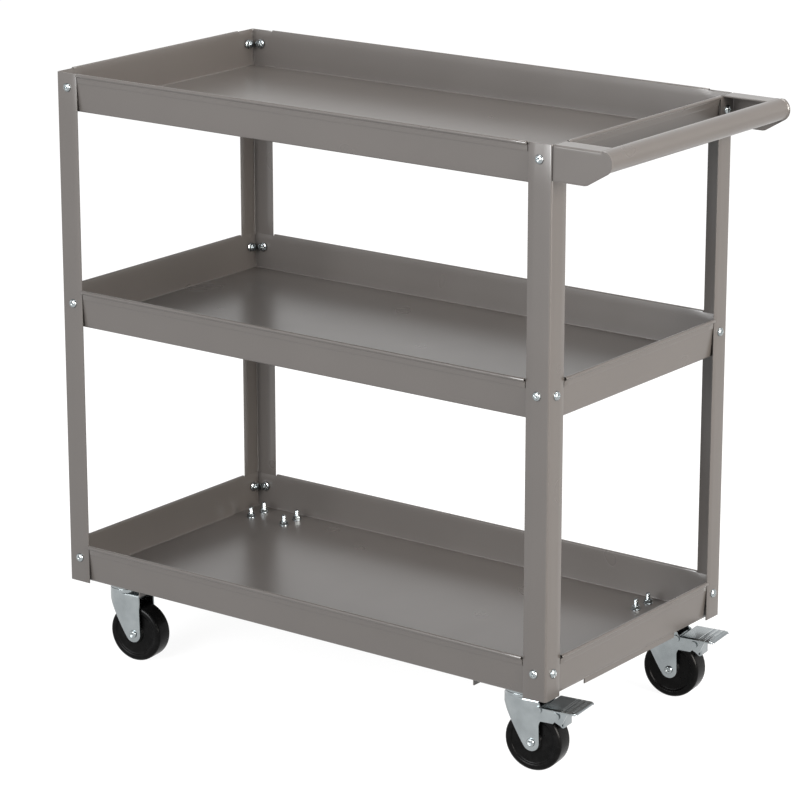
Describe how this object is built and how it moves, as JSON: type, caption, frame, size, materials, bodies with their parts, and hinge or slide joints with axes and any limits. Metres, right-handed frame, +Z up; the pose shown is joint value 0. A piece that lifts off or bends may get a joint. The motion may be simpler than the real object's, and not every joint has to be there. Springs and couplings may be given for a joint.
{
  "type": "tool cart",
  "caption": "Steel tool cart with shallow tray shelves bolted to angle posts, a push handle at one end and swivel casters with brakes.",
  "frame": {"origin": "on the floor, below the middle of the whole cart's box, handle included", "axes": "+X towards the push handle, +Y to the rear side, +Z up"},
  "size_m": [0.883, 0.4182, 0.8214],
  "materials": {
    "taupe_paint": "satin powder coat",
    "bright_zinc": "bright zinc plate",
    "ball_steel": "polished",
    "bushing_steel": "plain",
    "black_plastic": "gloss"
  },
  "bodies": {
    "frame": {"post_front_left": "taupe_paint", "post_front_right": "taupe_paint", "post_rear_left": "taupe_paint", "post_rear_right": "taupe_paint", "tray_bottom": "taupe_paint", "tray_screws_bottom": "bright_zinc", "tray_nuts_bottom": "bright_zinc", "tray_middle": "taupe_paint", "tray_screws_middle": "bright_zinc", "tray_nuts_middle": "bright_zinc", "tray_top": "taupe_paint", "tray_screws_top": "bright_zinc", "tray_nuts_top": "bright_zinc", "handle_tube": "taupe_paint", "handle_bracket_front": "taupe_paint", "handle_bracket_rear": "taupe_paint", "caster_channel_left": "taupe_paint", "caster_channel_right": "taupe_paint", "caster_screws": "bright_zinc", "caster_nuts": "bright_zinc", "caster_plate_front_left": "bright_zinc", "kingpin_front_left": "bright_zinc", "caster_plate_front_right": "bright_zinc", "kingpin_front_right": "bright_zinc", "caster_plate_rear_left": "bright_zinc", "kingpin_rear_left": "bright_zinc", "caster_plate_rear_right": "bright_zinc", "kingpin_rear_right": "bright_zinc"},
    "swivel_front_left": {"fork_front_left": "bright_zinc", "swivel_balls_front_left": "ball_steel", "axle_bolt_front_left": "bright_zinc", "axle_nut_front_left": "bright_zinc", "wheel_bushing_front_left": "bushing_steel"},
    "wheel_body_front_left": {"wheel_front_left": "black_plastic"},
    "swivel_front_right": {"fork_front_right": "bright_zinc", "swivel_balls_front_right": "ball_steel", "axle_bolt_front_right": "bright_zinc", "axle_nut_front_right": "bright_zinc", "wheel_bushing_front_right": "bushing_steel", "brake_pivot_pin_front_right": "bright_zinc", "brake_stop_pin_front_right": "bright_zinc"},
    "wheel_body_front_right": {"wheel_front_right": "black_plastic"},
    "pedal_front_right": {"brake_pedal_front_right": "bright_zinc"},
    "swivel_rear_left": {"fork_rear_left": "bright_zinc", "swivel_balls_rear_left": "ball_steel", "axle_bolt_rear_left": "bright_zinc", "axle_nut_rear_left": "bright_zinc", "wheel_bushing_rear_left": "bushing_steel"},
    "wheel_body_rear_left": {"wheel_rear_left": "black_plastic"},
    "swivel_rear_right": {"fork_rear_right": "bright_zinc", "swivel_balls_rear_right": "ball_steel", "axle_bolt_rear_right": "bright_zinc", "axle_nut_rear_right": "bright_zinc", "wheel_bushing_rear_right": "bushing_steel", "brake_pivot_pin_rear_right": "bright_zinc", "brake_stop_pin_rear_right": "bright_zinc"},
    "wheel_body_rear_right": {"wheel_rear_right": "black_plastic"},
    "pedal_rear_right": {"brake_pedal_rear_right": "bright_zinc"}
  },
  "joints": [
    {"name": "front_left_swivel", "type": "hinge", "parent": "frame", "child": "swivel_front_left", "pos_m": [-0.37395, -0.1625, 0.096], "axis": [0, 0, 1], "continuous": true},
    {"name": "front_left_wheel_spin", "type": "hinge", "parent": "swivel_front_left", "child": "wheel_body_front_left", "pos_m": [-0.35211, -0.15982, 0.04], "axis": [-0.1219, 0.9925, 0], "continuous": true},
    {"name": "front_right_swivel", "type": "hinge", "parent": "frame", "child": "swivel_front_right", "pos_m": [0.29205, -0.1625, 0.096], "axis": [0, 0, 1], "continuous": true},
    {"name": "front_right_wheel_spin", "type": "hinge", "parent": "swivel_front_right", "child": "wheel_body_front_right", "pos_m": [0.31389, -0.15982, 0.04], "axis": [-0.1219, 0.9925, 0], "continuous": true},
    {"name": "front_right_brake_pedal", "type": "hinge", "parent": "swivel_front_right", "child": "pedal_front_right", "pos_m": [0.35061, -0.15531, 0.083], "axis": [-0.1219, 0.9925, 0], "range_deg": [0, 12]},
    {"name": "rear_left_swivel", "type": "hinge", "parent": "frame", "child": "swivel_rear_left", "pos_m": [-0.37395, 0.1625, 0.096], "axis": [0, 0, 1], "continuous": true},
    {"name": "rear_left_wheel_spin", "type": "hinge", "parent": "swivel_rear_left", "child": "wheel_body_rear_left", "pos_m": [-0.35211, 0.16518, 0.04], "axis": [-0.1219, 0.9925, 0], "continuous": true},
    {"name": "rear_right_swivel", "type": "hinge", "parent": "frame", "child": "swivel_rear_right", "pos_m": [0.29205, 0.1625, 0.096], "axis": [0, 0, 1], "continuous": true},
    {"name": "rear_right_wheel_spin", "type": "hinge", "parent": "swivel_rear_right", "child": "wheel_body_rear_right", "pos_m": [0.31389, 0.16518, 0.04], "axis": [-0.1219, 0.9925, 0], "continuous": true},
    {"name": "rear_right_brake_pedal", "type": "hinge", "parent": "swivel_rear_right", "child": "pedal_rear_right", "pos_m": [0.35061, 0.16969, 0.083], "axis": [-0.1219, 0.9925, 0], "range_deg": [0, 12]}
  ]
}
